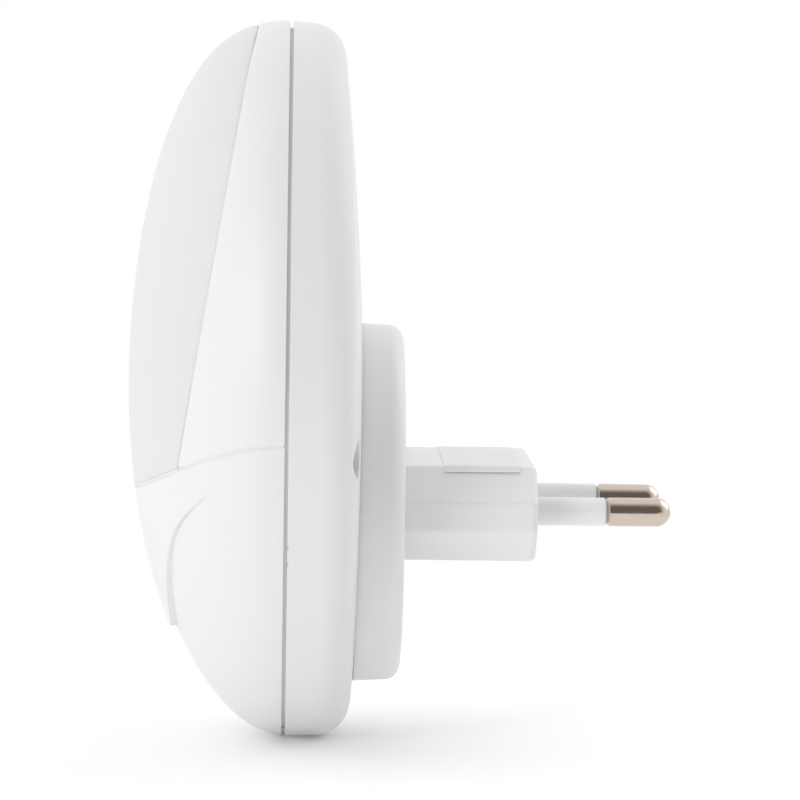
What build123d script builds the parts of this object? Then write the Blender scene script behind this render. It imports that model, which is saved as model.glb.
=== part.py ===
from build123d import *
from math import atan, copysign, cos, degrees, pi, radians, sin, tan
import os

# Plug-in night light with a turning europlug. Millimetres.
# Origin: middle of the plug face that meets the wall socket, on the axis the lamp turns about.
# +Y points into the wall, +Z is up and the lit face looks along -Y.

# ---- plug pins, as the europlug standard gives them
PIN_RADIUS = 2.0
PIN_LENGTH = 19.0
PIN_SPACING = 18.6
PIN_TIP_SPACING = 17.5
PIN_CORE_RADIUS = 1.5
PIN_TAIL_RADIUS = 1.0
PIN_COLLAR_RADIUS = 2.6
PIN_COLLAR_LENGTH = 1.6
SLEEVE_RADIUS = 1.97
SLEEVE_LENGTH = 10.0
SLEEVE_ROOT = 3.0
SLEEVE_END_CHAMFER = 0.3
PIN_SHOULDER_CHAMFER = 0.35

# ---- plug block, turning disc and hub
BLOCK_WIDTH = 35.3
BLOCK_HEIGHT = 13.2
BLOCK_CHAMFER = 4.6
BLOCK_LENGTH = 18.5
BLOCK_EDGE_RADIUS = 0.9
BLOCK_NOSE_RADIUS = 1.0
BLOCK_FLOOR = 9.0
POCKET_WIDTH = 26.0
POCKET_HEIGHT = 7.6
DISC_RADIUS = 25.3
DISC_DRAFT = 0.3
DISC_PROUD = 6.0
DISC_WALL = 2.0
DISC_RIM_RADIUS = 2.1
DISC_RIB_COUNT = 8
DISC_RIB_WIDTH = 1.2
HUB_RADIUS = 18.0
HUB_WALL = 3.7
LABEL_THICKNESS = 0.12
LABEL_LENGTH = 10.5
LABEL_FROM_NOSE = 2.4
LABEL_SPAN = (-13.0, 13.9)

# ---- lamp head
HEAD_WIDTH = 78.0
HEAD_HEIGHT = 101.0
HEAD_CENTRE_Z = 17.2
DOME_DEPTH = 22.35
FACE_WIDTH = 77.0
UPPER_HEIGHT_POWER = 1.9
UPPER_WIDTH_POWER = 2.6
LOWER_FULLNESS = 1.85
FACE_LOWER_FULLNESS = 2.0
SHELL_WALL = 2.0
BACK_DEPTH = 10.67
BACK_CREST_RISE = 0.42
BACK_CROWN_RADIUS = 500.0
BACK_CROWN_Z = 8.0
BACK_EDGE_RADIUS = 5.0
BACK_TOP_DRAFT = 0.09
BACK_LOW_DRAFT = 0.02
PAN_SPARE = 3.0
PARTING_GROOVE = 0.5
PARTING_GROOVE_DEPTH = 1.0
TONGUE_LENGTH = 2.0
TONGUE_CLEARANCE = 0.5
TONGUE_THICKNESS = 1.1
LEDGE_LENGTH = 3.0
PRY_NOTCHES_Z = [-2.4, -4.7, -7.0]
PRY_NOTCH_WIDTH = 0.5
PRY_NOTCH_DEPTH = 0.15

# ---- lines on the front: the smile seam, the window's rim plane and the crescent
SEAM_LOW_Z = 2.65
SEAM_RADIUS = 87.0
SEAM_GAP = 0.02
RIM_TOP_DEPTH = 5.45
RIM_TOP_DROP = 5.7
RIM_SLOPE = 0.165
RIM_GAP = 0.02
FRONT_EDGE_RADIUS = 0.25
CRESCENT_START = 0.3
SKIRT_LENGTH = 2.4
SKIRT_THICKNESS = 1.1
SKIRT_ROOT = 1.5
COVER_TONGUE_HALF_WIDTH = 20.0
CRESCENT_POINTS = [(0, -16.7), (10, -16.1), (14, -12.6), (18, -8.4), (25.9, -0.6), (32.6, 4.5), (44, 9.8)]

# ---- turning joint between the plug and the back shell
SEAT_RECESS_DEPTH = 1.32
SEAT_THICKNESS = 2.0
SEAT_PAD_MARGIN = 1.8
TURN_CLEARANCE = 0.1
DISC_CLEARANCE = 0.3
WASHER_THICKNESS = 0.4
WASHER_WIDTH = 2.0
RETAINER_OVERHANG = 3.0
RETAINER_THICKNESS = 1.6
STOP_LUG_DEGREES = 8.0
STOP_SPARE_DEGREES = 2.0
STOP_RADIAL = 1.6
STOP_CLEARANCE = 0.4
TURN_DEGREES = 90.0

# ---- housing screws and the posts, ears and bosses that they pass through
HOUSING_SCREW_FROM_WALL = 4.0
HOUSING_SCREW_Z = 9.5
SCREW_SHANK_RADIUS = 1.2
SCREW_HEAD_RADIUS = 2.4
SCREW_HEAD_HEIGHT = 1.6
SCREW_LENGTH = 10.0
WELL_RADIUS = 2.7
WELL_FLOOR_DEPTH = 3.75
POST_RADIUS = 4.0
EAR_RADIUS = 3.3
EAR_THICKNESS = 1.5
BOSS_RADIUS = 2.9
BOSS_WEB = 1.8

# ---- small screws, for the retainer and the circuit board
SMALL_SHANK_RADIUS = 0.95
SMALL_HEAD_RADIUS = 1.6
SMALL_HEAD_HEIGHT = 1.1
SMALL_SCREW_LENGTH = 6.0
RETAINER_SCREW_COUNT = 3

# ---- circuit board and what it carries
BOARD_WIDTH = 44.0
BOARD_TOP_Z = 49.0
BOARD_INSET = 5.5
BOARD_THICKNESS = 1.6
BOARD_BACK_GAP = 3.6
BOARD_POST_RADIUS = 2.6
BOARD_POSTS = [(19.3, 31.0), (8.0, -24.8)]
LED_SIZE = (3.5, 0.8, 2.8)
LED_COLUMN_X = 7.5
LED_ROWS_Z = [19.0, 30.0, 41.0]
TRAY_BASE = (32.0, 34.0)
TRAY_MOUTH = (42.0, 42.0)
TRAY_CENTRE_Z = 30.0
TRAY_DEPTH = 9.0
TRAY_WALL = 1.2
TRAY_PEG_RADIUS = 1.2
TRAY_PEG_FROM_EDGE = 3.0
TRAY_CORNER_RADIUS = 4.0
SENSOR_Z = -7.0
SENSOR_RADIUS = 2.5
SENSOR_HEIGHT = 8.6
SENSOR_FLANGE = 0.4
WINDOW_RADIUS = 3.0
SHROUD_RADIUS = 4.4
SHROUD_WALL = 1.0
FILM_CAPACITOR = (7.0, 11.0, 16.0)
FILM_CAPACITOR_AT = (-12.5, 0.0)
ELECTROLYTIC_RADIUS = 4.0
ELECTROLYTIC_HEIGHT = 10.0
ELECTROLYTIC_AT = (12.0, 4.0)
CRIMP_FROM_BOARD = 1.6
CRIMP_WIDTH = 0.8
CRIMP_DEPTH = 0.4
VARISTOR_RADIUS = 3.4
VARISTOR_THICKNESS = 2.6
VARISTOR_AT = (12.5, -6.0)
VARISTOR_LEG_SPACING = 3.6
FUSE_RADIUS = 1.5
FUSE_LENGTH = 7.0
FUSE_AT = (9.0, -14.5)
FUSE_LEG_SPAN = 9.4
BRIDGE_SIZE = (4.8, 2.4, 4.0)
BRIDGE_AT = (-10.0, -14.5)
BRIDGE_LEG_PITCH = 2.6
BRIDGE_LEG_WIDTH = 0.6
BRIDGE_LEG_HEIGHT = 0.5
BRIDGE_LEG_REACH = 1.0
RESISTOR_SIZE = (3.2, 0.6, 1.6)
RESISTORS_AT = [(-12.0, 10.5), (-6.0, 10.5), (0.0, 10.5), (0.0, 5.0)]
LEG_RADIUS = 0.3
LEG_LENGTH = 1.2

# ---- contact rings on the retainer and the springs that rub on them
RING_THICKNESS = 0.4
RING_WIDTH = 1.4
RING_FROM_SCREWS = 0.75
INNER_RING_RADIUS = 7.0
RING_TAB_HALF_WIDTH = 1.3
RING_TAB_REACH = 1.4
SPRING_WIDTH = 1.3
SPRING_THICKNESS = 0.25
SPRING_REACH = 6.0
SPRING_FOOT = 3.0
SPRING_KNEE = 0.5
SPRING_CURL_RISE = 0.3
SPRING_CURL_HALF = 1.0

# ---- clearances
FIT = 0.05
SEAT = 0.1
LOOSE = 0.3
FAR = 80.0

# ---- planes and radii worked out from the sizes above
PIN_TILT_DEGREES = degrees(atan((PIN_SPACING - PIN_TIP_SPACING) / 2 / PIN_LENGTH))
BLOCK_ROOT_Y = -BLOCK_LENGTH
CREST_Y = BLOCK_ROOT_Y - DISC_PROUD + BACK_CREST_RISE
SEAT_Y = CREST_Y - SEAT_RECESS_DEPTH
PAD_Y = SEAT_Y - SEAT_THICKNESS
DISC_FRONT_Y = SEAT_Y + DISC_CLEARANCE
RETAINER_BACK_Y = PAD_Y - WASHER_THICKNESS - 2 * FIT
RETAINER_FRONT_Y = RETAINER_BACK_Y - RETAINER_THICKNESS
RING_FRONT_Y = RETAINER_FRONT_Y - RING_THICKNESS
BOARD_BACK_Y = RING_FRONT_Y - BOARD_BACK_GAP
BOARD_FRONT_Y = BOARD_BACK_Y - BOARD_THICKNESS
COMPONENT_Y = BOARD_FRONT_Y - SEAT
PARTING_Y = CREST_Y - BACK_DEPTH
RIM_BACK_Y = PARTING_Y + PARTING_GROOVE / 2
RIM_FRONT_Y = PARTING_Y - PARTING_GROOVE / 2
TONGUE_Y = PARTING_Y - TONGUE_LENGTH
EAR_BACK_Y = RIM_FRONT_Y
EAR_FRONT_Y = EAR_BACK_Y - EAR_THICKNESS
BOSS_BACK_Y = EAR_FRONT_Y - SEAT
WELL_FLOOR_Y = PARTING_Y + WELL_FLOOR_DEPTH
SCREW_END_Y = WELL_FLOOR_Y - SCREW_LENGTH
HUB_BORE_RADIUS = HUB_RADIUS - HUB_WALL
RETAINER_RADIUS = HUB_RADIUS + RETAINER_OVERHANG
RETAINER_SCREW_CIRCLE = HUB_RADIUS - HUB_WALL / 2
STOP_INNER_RADIUS = RETAINER_RADIUS + STOP_CLEARANCE
HEAD_TOP_Z = HEAD_CENTRE_Z + HEAD_HEIGHT / 2
HEAD_LOW_Z = HEAD_CENTRE_Z - HEAD_HEIGHT / 2
RIM_TOP_Z = HEAD_TOP_Z - RIM_TOP_DROP
TONGUE_INSET = SHELL_WALL + TONGUE_CLEARANCE
HOUSING_SCREW_X = HEAD_WIDTH / 2 - SHELL_WALL - HOUSING_SCREW_FROM_WALL
OUTER_RING_RADIUS = RETAINER_SCREW_CIRCLE - SMALL_HEAD_RADIUS - RING_FROM_SCREWS
TAIL_X = PIN_SPACING / 2 - RETAINER_FRONT_Y * tan(radians(PIN_TILT_DEGREES))
SENSOR_ROOM_Y = COMPONENT_Y - SENSOR_HEIGHT


# ------------------------------------------------------------------ basic shapes
def rod(radius, y_from, y_to, x=0.0, z=0.0):
    """Round bar along Y."""
    return Pos(x, (y_from + y_to) / 2, z) * Rot(90, 0, 0) * Cylinder(radius, abs(y_to - y_from))


def tube(outer, inner, y_from, y_to, x=0.0, z=0.0):
    """Round tube along Y."""
    longer = 1.0
    low, high = min(y_from, y_to), max(y_from, y_to)
    return rod(outer, low, high, x, z) - rod(inner, low - longer, high + longer, x, z)


def bar(x_span, y_span, z_span):
    """Rectangular bar given by its limits along the three axes."""
    spans = (x_span, y_span, z_span)
    sizes = [abs(span[1] - span[0]) for span in spans]
    middle = [(span[0] + span[1]) / 2 for span in spans]
    return Pos(*middle) * Box(*sizes)


def upright_box(size, at):
    """Box of (x, y, z) size standing on the front of the circuit board at (x, z)."""
    x, z = at
    y_span = (COMPONENT_Y, COMPONENT_Y - size[1])
    return bar((x - size[0] / 2, x + size[0] / 2), y_span, (z - size[2] / 2, z + size[2] / 2))


def prism(face, y_from, y_to):
    """Extrude a face drawn in the XZ plane between two planes along Y."""
    return extrude(Pos(0, y_from, 0) * face, y_to - y_from, dir=(0, 1, 0))


def arc_ring(inner, outer, y_from, y_to, start_degrees, sweep_degrees):
    """Part of a ring about the turning axis; angles count from +Z towards +X."""
    corners = [(0, y_from, inner), (0, y_to, inner), (0, y_to, outer), (0, y_from, outer)]
    section = make_face(Polyline(*corners, close=True))
    return revolve(Rot(0, start_degrees, 0) * section, Axis.Y, sweep_degrees)


def both_sides(solid):
    """A solid and its mirror image across the YZ plane."""
    return [solid, mirror(solid, Plane.YZ)]


def screw(shank, length, head, head_height, x, z, seat_y, towards):
    """Plain screw along Y; towards is +1 or -1, the way its head faces."""
    body = rod(shank, seat_y, seat_y - towards * length, x, z)
    return body + rod(head, seat_y, seat_y + towards * head_height, x, z)


# ------------------------------------------------------------------ outline, domes and cutters
def oval_half(half_width, half_height, lower_fullness, first_point=0):
    """Right half of the oval face about the origin, in the XZ plane.

    The curve starts at its low point, or a number of sixteenths further round."""
    steps = 16
    points = []
    for i in range(first_point, first_point + steps):
        angle = 2 * pi * i / steps - pi / 2
        across, up = (0.0 if i % (steps // 2) == 0 else cos(angle)), sin(angle)
        width_power = UPPER_WIDTH_POWER if up > 0 else lower_fullness
        height_power = UPPER_HEIGHT_POWER if up > 0 else lower_fullness
        points.append((copysign(half_width * abs(across) ** (2 / width_power), across), 0,
                       copysign(half_height * abs(up) ** (2 / height_power), up)))
    return split(make_face(Spline(*points, periodic=True)), bisect_by=Plane.YZ, keep=Keep.TOP)


def head_half(inset):
    """Right half of the head's outline face, moved inwards by inset, in two edges."""
    half = oval_half(HEAD_WIDTH / 2 - inset, HEAD_HEIGHT / 2 - inset, LOWER_FULLNESS, first_point=4)
    return Pos(0, 0, HEAD_CENTRE_Z) * half


def oval(inset):
    """Whole face inside the head's outline, moved inwards by inset."""
    half = head_half(inset)
    return half + mirror(half, Plane.YZ)


def dome(inset, width=HEAD_WIDTH, lower_fullness=LOWER_FULLNESS):
    """Solid dome in front of the parting plane, moved inwards by inset."""
    half_width = width / 2 - inset
    half = oval_half(half_width, HEAD_HEIGHT / 2 - inset, lower_fullness)
    turned = revolve(half, Axis((0, 0, 0), (0, 0, -1)), 180)
    flattened = scale(turned, by=(1, (DOME_DEPTH - inset) / half_width, 1))
    return Pos(0, PARTING_Y, HEAD_CENTRE_Z) * flattened


def above_seam(shift=0.0):
    """Everything above the smile seam; a positive shift starts higher."""
    return rod(SEAM_RADIUS - shift, PARTING_Y - FAR, 0, z=SEAM_LOW_Z + SEAM_RADIUS)


def rim_plane(shift):
    """Inclined plane of the window's rim; a positive shift moves it forwards."""
    normal = Vector(0, -1, RIM_SLOPE).normalized()
    origin = Vector(0, PARTING_Y - RIM_TOP_DEPTH, RIM_TOP_Z) + normal * shift
    return Plane(origin=origin, z_dir=normal)


def in_front(solid, shift=0.0):
    """The part of a solid in front of the window's rim plane."""
    return split(solid, bisect_by=rim_plane(shift), keep=Keep.TOP)


def behind(solid, shift=0.0):
    """The part of a solid behind the window's rim plane."""
    return split(solid, bisect_by=rim_plane(shift), keep=Keep.BOTTOM)


def before_groove(solid):
    """The part of a front moulding ahead of the parting groove."""
    return split(solid, bisect_by=Plane(origin=(0, RIM_FRONT_Y, 0), z_dir=(0, -1, 0)), keep=Keep.TOP)


def inside_crescent():
    """Everything above the crescent's lower line, along Y."""
    right = Spline(*[(x, 0, z) for x, z in CRESCENT_POINTS], tangents=[(1, 0, 0), (1, 0, 0.3)])
    end = right @ 1
    lid = Polyline((end.X, 0, end.Z), (end.X, 0, HEAD_TOP_Z), (-end.X, 0, HEAD_TOP_Z), (-end.X, 0, end.Z))
    return prism(make_face(right + mirror(right, Plane.YZ) + lid), PARTING_Y - FAR, PARTING_Y)


# ------------------------------------------------------------------ front mouldings
def rounded(block):
    """A solid block of a dome with the edges rounded that the seam and the rim plane cut into it."""
    seam = block.faces().filter_by(GeomType.CYLINDER).sort_by(SortBy.AREA)[-1]
    rim = block.faces().filter_by(GeomType.PLANE).sort_by(Axis.Y)[0]
    cuts = seam.edges().filter_by(GeomType.BSPLINE)
    if rim.center().Y < PARTING_Y - 1.0:
        cuts += rim.edges().filter_by(GeomType.BSPLINE)
    return fillet(cuts, FRONT_EDGE_RADIUS)


def screw_boss():
    """Boss of a housing screw with the web that ties it to the frame's side."""
    x, z = HOUSING_SCREW_X, HOUSING_SCREW_Z
    web_z = (z + BOSS_RADIUS - SHELL_WALL / 2, z + BOSS_RADIUS - SHELL_WALL / 2 + BOSS_WEB)
    web = bar((x, x + 2 * BOSS_RADIUS), (BOSS_BACK_Y, SCREW_END_Y), web_z)
    return rod(BOSS_RADIUS, BOSS_BACK_Y, SCREW_END_Y, x, z) + web


def front_frame(outer, core, mid_dome, cover_zone):
    """White frame behind the window's rim, down to the smile seam."""
    block = rounded(behind(before_groove(outer & above_seam(SEAM_GAP / 2)), -RIM_GAP / 2))
    frame = block - core
    boss = (screw_boss() & mid_dome) - cover_zone
    pilot = rod(SCREW_SHANK_RADIUS + FIT, BOSS_BACK_Y + LOOSE, SCREW_END_Y + LOOSE,
                HOUSING_SCREW_X, HOUSING_SCREW_Z)
    for half in both_sides(boss - pilot):
        frame += half
    return frame


def diffuser(face, core, thick_layer, thin_layer):
    """Opal window with the skirt that slides inside the frame."""
    window = rounded(in_front(face & above_seam(SEAM_GAP / 2), RIM_GAP / 2)) - core
    clear_of_tongue = above_seam(SKIRT_LENGTH + LOOSE)
    root = in_front(behind(thick_layer, SKIRT_ROOT), RIM_GAP / 2) & clear_of_tongue
    skirt = in_front(behind(thin_layer, RIM_GAP / 2), -SKIRT_LENGTH) & clear_of_tongue
    return window + root + skirt


def cover_ear():
    """Ear of the lower cover, trapped between the back shell's post and the frame's boss."""
    x, z = HOUSING_SCREW_X, HOUSING_SCREW_Z
    hole = SCREW_SHANK_RADIUS + LOOSE
    arm = bar((x, x + 2 * EAR_RADIUS), (EAR_BACK_Y, EAR_FRONT_Y), (z - EAR_RADIUS, z - hole))
    return tube(EAR_RADIUS, hole, EAR_BACK_Y, EAR_FRONT_Y, x, z) + arm


def lower_cover(outer, face, core, thick_layer, thin_layer, mid_dome):
    """Cover below the smile seam: raised crescent, tongue behind the window, ears, sensor hole."""
    cover = rounded(before_groove(outer - above_seam(-SEAM_GAP / 2))) - core
    cover += before_groove((face - core) & inside_crescent()) - above_seam(-CRESCENT_START)
    reach = bar((-COVER_TONGUE_HALF_WIDTH, COVER_TONGUE_HALF_WIDTH), (PARTING_Y - FAR, PARTING_Y),
                (HEAD_LOW_Z, HEAD_TOP_Z))
    root = (thick_layer & reach & above_seam(-SKIRT_ROOT)) - above_seam(-SEAM_GAP / 2)
    tongue = (thin_layer & reach & above_seam(-SEAM_GAP / 2)) - above_seam(SKIRT_LENGTH)
    cover += root + tongue
    for half in both_sides(cover_ear() & mid_dome):
        cover += half
    return cover - rod(WINDOW_RADIUS, PARTING_Y - FAR, SENSOR_ROOM_Y, z=SENSOR_Z)


def sensor_window(face, core):
    """Smoked window in front of the light sensor, flush with the crescent."""
    return (face - core) & rod(WINDOW_RADIUS - FIT, PARTING_Y - FAR, SENSOR_ROOM_Y, z=SENSOR_Z)


# ------------------------------------------------------------------ back shell
def pan(inset, edge_radius):
    """Solid pan behind the parting plane with a crowned back and rounded rear edge."""
    depth = BACK_DEPTH + PAN_SPARE
    narrowing = depth * (BACK_TOP_DRAFT + BACK_LOW_DRAFT) / 2
    lowering = depth * (BACK_TOP_DRAFT - BACK_LOW_DRAFT) / 2
    rim = Pos(0, PARTING_Y, 0) * head_half(inset)
    rear = Pos(0, PARTING_Y + depth, -lowering) * head_half(inset + narrowing)
    crown = Pos(0, CREST_Y - BACK_CROWN_RADIUS, BACK_CROWN_Z) * Sphere(BACK_CROWN_RADIUS - inset)
    half = loft([rim, rear]) & crown
    rear_edges = [edge for edge in half.edges()
                  if edge.center().Y > PARTING_Y + BACK_DEPTH * 0.6 and edge.center().X > 1.0]
    half = fillet(rear_edges, edge_radius)
    return half + mirror(half, Plane.YZ)


def rim_ring(outer_inset, inner_inset, y_from, y_to):
    """Ring that follows the head's outline."""
    return prism(oval(outer_inset) - oval(inner_inset), y_from, y_to)


def back_shell():
    """Back shell: seat for the turning disc, screw posts, board posts, stop rib and tongue."""
    outer = pan(0, BACK_EDGE_RADIUS)
    shell = outer - pan(SHELL_WALL, BACK_EDGE_RADIUS - SHELL_WALL)
    shell -= bar((-FAR, FAR), (PARTING_Y - 1.0, RIM_BACK_Y), (-FAR, FAR))
    inner_inset = TONGUE_INSET + TONGUE_THICKNESS
    shell += rim_ring(PARTING_GROOVE_DEPTH, inner_inset, RIM_FRONT_Y + FIT, PARTING_Y + LEDGE_LENGTH)
    shell += rim_tongue(inner_inset)
    shell += rod(DISC_RADIUS + SEAT_PAD_MARGIN, PAD_Y, SEAT_Y)
    for post in both_sides(screw_post(outer)):
        shell += post
    for x, z in BOARD_POSTS:
        for post in both_sides(rod(BOARD_POST_RADIUS, BOARD_BACK_Y, PAD_Y + SEAT_THICKNESS / 2, x, z)):
            shell += post
    stop_half = 180 - TURN_DEGREES - STOP_LUG_DEGREES - STOP_SPARE_DEGREES
    shell += arc_ring(STOP_INNER_RADIUS, STOP_INNER_RADIUS + STOP_RADIAL, RETAINER_FRONT_Y, PAD_Y + FIT,
                      -stop_half, 2 * stop_half)
    return shell - back_shell_holes()


def rim_tongue(inner_inset):
    """Tongue inside the front mouldings, cut away where the screw ears and bosses sit."""
    x, z = HOUSING_SCREW_X, HOUSING_SCREW_Z
    room = EAR_RADIUS + LOOSE
    tongue = rim_ring(TONGUE_INSET, inner_inset, TONGUE_Y, RIM_FRONT_Y + FIT)
    for gap in both_sides(bar((x - room, x + 3 * EAR_RADIUS), (TONGUE_Y - 1.0, RIM_FRONT_Y + FIT),
                              (z - room, z + BOSS_RADIUS + BOSS_WEB))):
        tongue -= gap
    return tongue


def screw_post(outer):
    """Post of a housing screw, with a narrower foot that reaches the cover's ear."""
    x, z = HOUSING_SCREW_X, HOUSING_SCREW_Z
    foot = rod(POST_RADIUS - TONGUE_THICKNESS, RIM_FRONT_Y + FIT, PARTING_Y, x, z)
    return (rod(POST_RADIUS, PARTING_Y, CREST_Y, x, z) & outer) + foot


def back_shell_holes():
    """Hub bore, seat recess, screw wells, pilot holes and pry notches of the back shell."""
    x, z = HOUSING_SCREW_X, HOUSING_SCREW_Z
    holes = rod(HUB_RADIUS + TURN_CLEARANCE, PAD_Y - 1.0, 0)
    holes += rod(DISC_RADIUS + LOOSE, SEAT_Y, 0)
    for well in both_sides(rod(WELL_RADIUS, WELL_FLOOR_Y, 0, x, z)):
        holes += well
    for hole in both_sides(rod(SCREW_SHANK_RADIUS + LOOSE, PARTING_Y - 1.0, WELL_FLOOR_Y, x, z)):
        holes += hole
    pilot_end = BOARD_BACK_Y + SMALL_SCREW_LENGTH
    for post_x, post_z in BOARD_POSTS:
        for hole in both_sides(rod(SMALL_SHANK_RADIUS + FIT, BOARD_BACK_Y - 1.0, pilot_end, post_x, post_z)):
            holes += hole
    half_width = HEAD_WIDTH / 2
    for notch_z in PRY_NOTCHES_Z:
        holes += bar((half_width * 0.85, half_width), (PARTING_Y, RIM_BACK_Y + PRY_NOTCH_DEPTH),
                     (notch_z - PRY_NOTCH_WIDTH / 2, notch_z + PRY_NOTCH_WIDTH / 2))
    return holes


# ------------------------------------------------------------------ plug
def pin_place():
    """Place of the right-hand pin: its root on the plug face and its lean towards the middle."""
    return Pos(PIN_SPACING / 2, 0, 0) * Rot(0, 0, PIN_TILT_DEGREES)


def plug_pins():
    """Two pins with a collar that the holder traps and a tail that reaches the contact rings."""
    collar_y = -BLOCK_FLOOR - PIN_COLLAR_LENGTH
    bare = rod(PIN_RADIUS, SLEEVE_LENGTH, PIN_LENGTH - PIN_RADIUS)
    bare = chamfer(bare.edges().group_by(Axis.Y)[0], PIN_SHOULDER_CHAMFER)
    bare += Pos(0, PIN_LENGTH - PIN_RADIUS, 0) * Sphere(PIN_RADIUS)
    core = rod(PIN_CORE_RADIUS, collar_y, SLEEVE_LENGTH)
    collar = rod(PIN_COLLAR_RADIUS, collar_y, -BLOCK_FLOOR - SEAT)
    tail = rod(PIN_TAIL_RADIUS, RETAINER_FRONT_Y + SEAT, collar_y)
    return both_sides(pin_place() * (bare + core + collar + tail))


def pin_sleeves():
    """Insulating sleeves on the pins."""
    body = rod(SLEEVE_RADIUS, -SLEEVE_ROOT, SLEEVE_LENGTH - FIT)
    body = chamfer(body.edges().group_by(Axis.Y)[-1], SLEEVE_END_CHAMFER)
    bore = rod(PIN_CORE_RADIUS + FIT, -SLEEVE_ROOT - 1.0, SLEEVE_LENGTH + 1.0)
    return both_sides(pin_place() * (body - bore))


def block_section(grow):
    """Octagonal section of the plug block, grown outwards."""
    half_width = BLOCK_WIDTH / 2 + grow
    half_height = BLOCK_HEIGHT / 2 + grow
    cut = BLOCK_CHAMFER + grow * (2 - 2 ** 0.5)
    right = [(half_width, -half_height + cut), (half_width, half_height - cut),
             (half_width - cut, half_height)]
    points = right + [(-x, z) for x, z in reversed(right)]
    points += [(-half_width + cut, -half_height), (half_width - cut, -half_height)]
    face = make_face(Polyline(*[(x, 0, z) for x, z in points], close=True))
    return fillet(face.vertices(), BLOCK_EDGE_RADIUS + grow)


def plug_disc():
    """Turning disc, hub and octagonal plug block in one moulding."""
    plate_y = BLOCK_ROOT_Y - DISC_WALL
    rim_inner = DISC_RADIUS - DISC_WALL
    corners = [(0, BLOCK_ROOT_Y), (DISC_RADIUS - DISC_DRAFT, BLOCK_ROOT_Y), (DISC_RADIUS, DISC_FRONT_Y),
               (rim_inner, DISC_FRONT_Y), (rim_inner, plate_y), (HUB_RADIUS, plate_y),
               (HUB_RADIUS, RETAINER_BACK_Y), (HUB_BORE_RADIUS, RETAINER_BACK_Y),
               (HUB_BORE_RADIUS, plate_y), (0, plate_y)]
    section = make_face(Polyline(*corners, close=True))
    rim_corner = section.vertices().sort_by_distance((DISC_RADIUS - DISC_DRAFT, BLOCK_ROOT_Y, 0))[0]
    body = revolve(fillet(rim_corner, DISC_RIM_RADIUS), Axis.Y, 360)
    for i in range(DISC_RIB_COUNT):
        rib = bar((HUB_RADIUS - FIT, rim_inner + FIT), (DISC_FRONT_Y + LOOSE, plate_y + FIT),
                  (-DISC_RIB_WIDTH / 2, DISC_RIB_WIDTH / 2))
        body += Rot(0, (i + 0.5) * 360 / DISC_RIB_COUNT, 0) * rib
    block = prism(block_section(0), plate_y + FIT, 0)
    body += fillet(block.faces().sort_by(Axis.Y)[-1].edges(), BLOCK_NOSE_RADIUS)
    body -= bar((-POCKET_WIDTH / 2, POCKET_WIDTH / 2), (RETAINER_BACK_Y - 1.0, -BLOCK_FLOOR),
                (-POCKET_HEIGHT / 2, POCKET_HEIGHT / 2))
    for hole in both_sides(pin_place() * rod(PIN_CORE_RADIUS + FIT, -BLOCK_FLOOR - 1.0, 1.0)):
        body -= hole
    for hole in both_sides(pin_place() * rod(SLEEVE_RADIUS + SEAT, -SLEEVE_ROOT - FIT, 1.0)):
        body -= hole
    screw_end = RETAINER_FRONT_Y + SMALL_SCREW_LENGTH
    for place in retainer_screw_places():
        body -= place * rod(SMALL_SHANK_RADIUS + FIT, RETAINER_BACK_Y - 1.0, screw_end)
    return body


def retainer_screw_places():
    """Places of the screws on the hub's end."""
    turn = 360 / RETAINER_SCREW_COUNT
    return [Rot(0, turn / 2 + i * turn, 0) * Pos(0, 0, RETAINER_SCREW_CIRCLE)
            for i in range(RETAINER_SCREW_COUNT)]


def pin_holder():
    """Insert that fills the block's pocket and traps the pin collars."""
    back = -BLOCK_FLOOR - PIN_COLLAR_LENGTH - SEAT
    front = RETAINER_BACK_Y + SEAT
    holder = bar((-POCKET_WIDTH / 2 + SEAT, POCKET_WIDTH / 2 - SEAT), (front, back),
                 (-POCKET_HEIGHT / 2 + SEAT, POCKET_HEIGHT / 2 - SEAT))
    for hole in both_sides(pin_place() * rod(PIN_TAIL_RADIUS + SEAT, front - 2.0, back + 2.0)):
        holder -= hole
    return holder


def disc_retainer():
    """Plate screwed to the hub inside the lamp; its lug meets the back shell's stop rib."""
    front, back = RETAINER_FRONT_Y, RETAINER_BACK_Y
    plate = rod(RETAINER_RADIUS, front, back)
    plate += arc_ring(RETAINER_RADIUS - 1.0, STOP_INNER_RADIUS + STOP_RADIAL - SEAT, front, back,
                      180 - STOP_LUG_DEGREES, 2 * STOP_LUG_DEGREES)
    for hole in both_sides(pin_place() * rod(PIN_TAIL_RADIUS + SEAT, front - 1.0, back + 1.0)):
        plate -= hole
    for place in retainer_screw_places():
        plate -= place * rod(SMALL_SHANK_RADIUS + SEAT, front - 1.0, back + 1.0)
    return plate


def small_screw(length, x, z, seat_y):
    """One of the small screws, its head to the front."""
    return screw(SMALL_SHANK_RADIUS, length, SMALL_HEAD_RADIUS, SMALL_HEAD_HEIGHT, x, z, seat_y, -1)


def retainer_screws():
    """Screws that hold the retainer to the hub."""
    one = small_screw(SMALL_SCREW_LENGTH - LOOSE, 0, 0, RETAINER_FRONT_Y)
    return [place * one for place in retainer_screw_places()]


def wave_washer():
    """Spring washer between the retainer and the back shell, which gives the turn its drag."""
    inner = HUB_RADIUS + LOOSE
    return tube(inner + WASHER_WIDTH, inner, PAD_Y - FIT - WASHER_THICKNESS, PAD_Y - FIT)


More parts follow.
